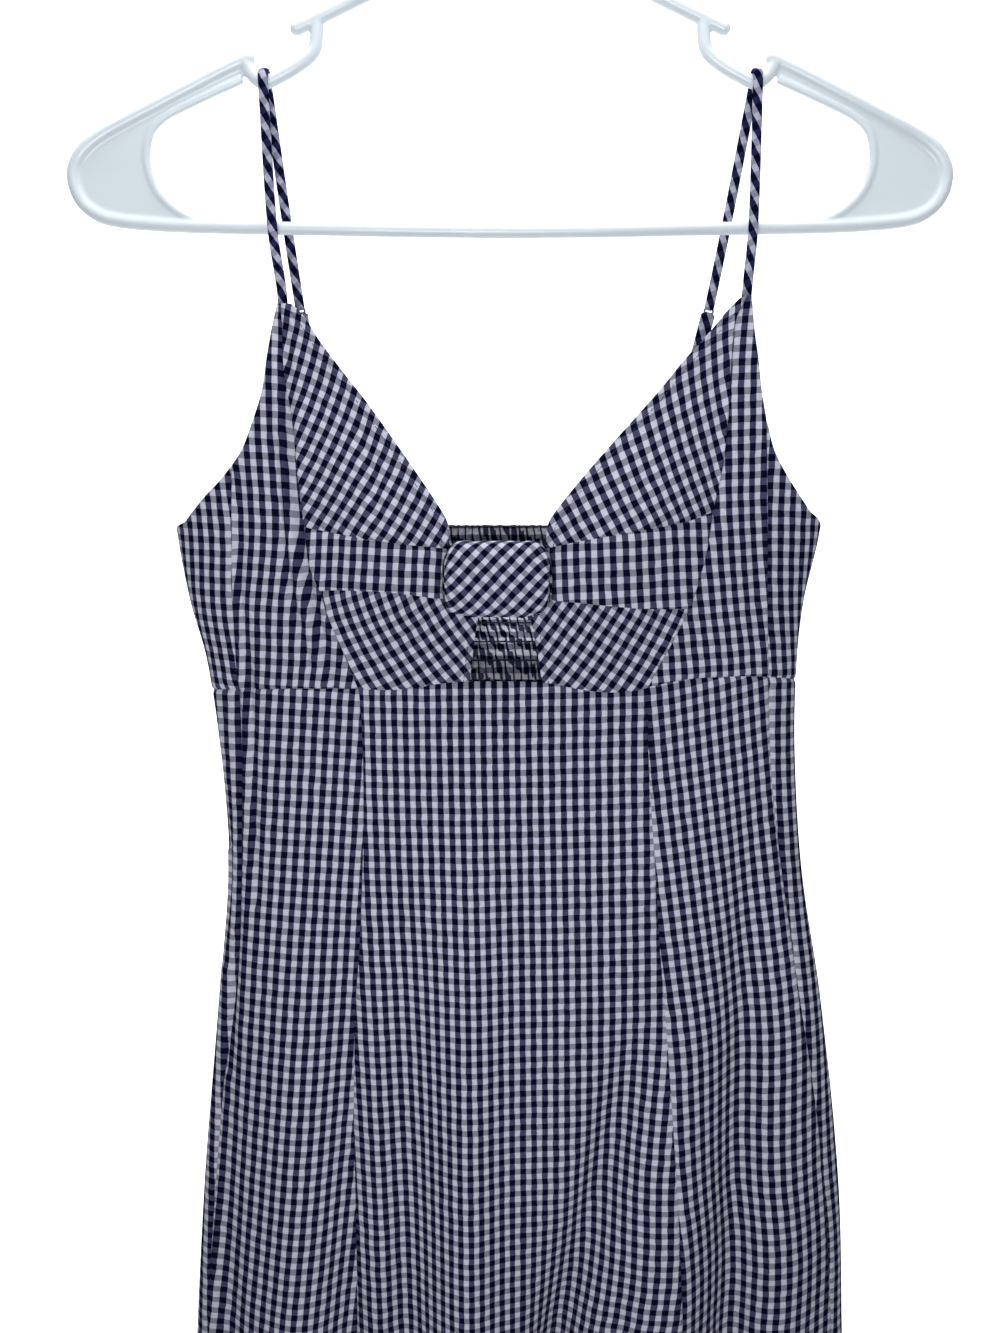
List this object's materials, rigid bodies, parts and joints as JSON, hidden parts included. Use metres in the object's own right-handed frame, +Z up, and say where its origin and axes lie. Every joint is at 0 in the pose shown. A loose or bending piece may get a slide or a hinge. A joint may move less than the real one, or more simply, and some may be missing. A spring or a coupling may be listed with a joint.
{
  "type": "midi dress on a hanger",
  "caption": "Sleeveless checked midi dress with thin straps, a knotted bow front over a keyhole, a smocked back and a panelled skirt, hanging from a moulded plastic hanger.",
  "frame": {"origin": "top of the inside of the hanger's hook, where it rests on a rail", "axes": "+Z up, the front of the dress faces -Y, and +X runs along the hanger to the right in the front view"},
  "size_m": [0.4268, 0.1003, 1.3063],
  "materials": {
    "gingham_cotton": "yarn-dyed navy and white gingham with a fine crinkle, matt",
    "hanger_plastic": "moulded white polypropylene, satin",
    "strap_ring": "nylon-coated metal ring, pale"
  },
  "bodies": {
    "root": {"hanger": "hanger_plastic", "strap_left": "gingham_cotton", "strap_right": "gingham_cotton", "strap_ring_left": "strap_ring", "strap_ring_right": "strap_ring", "strap_tab_left": "gingham_cotton", "strap_tab_right": "gingham_cotton", "upper_cup_left": "gingham_cotton", "upper_cup_right": "gingham_cotton", "bow_band_left": "gingham_cotton", "bow_band_right": "gingham_cotton", "lower_cup_left": "gingham_cotton", "lower_cup_right": "gingham_cotton", "knot": "gingham_cotton", "side_front_bodice_left": "gingham_cotton", "side_front_bodice_right": "gingham_cotton", "side_back_bodice_left": "gingham_cotton", "side_back_bodice_right": "gingham_cotton", "smocked_back": "gingham_cotton", "skirt_centre_front": "gingham_cotton", "skirt_side_front_left": "gingham_cotton", "skirt_side_front_right": "gingham_cotton", "skirt_side_back_left": "gingham_cotton", "skirt_side_back_right": "gingham_cotton", "skirt_centre_back": "gingham_cotton"}
  },
  "joints": []
}
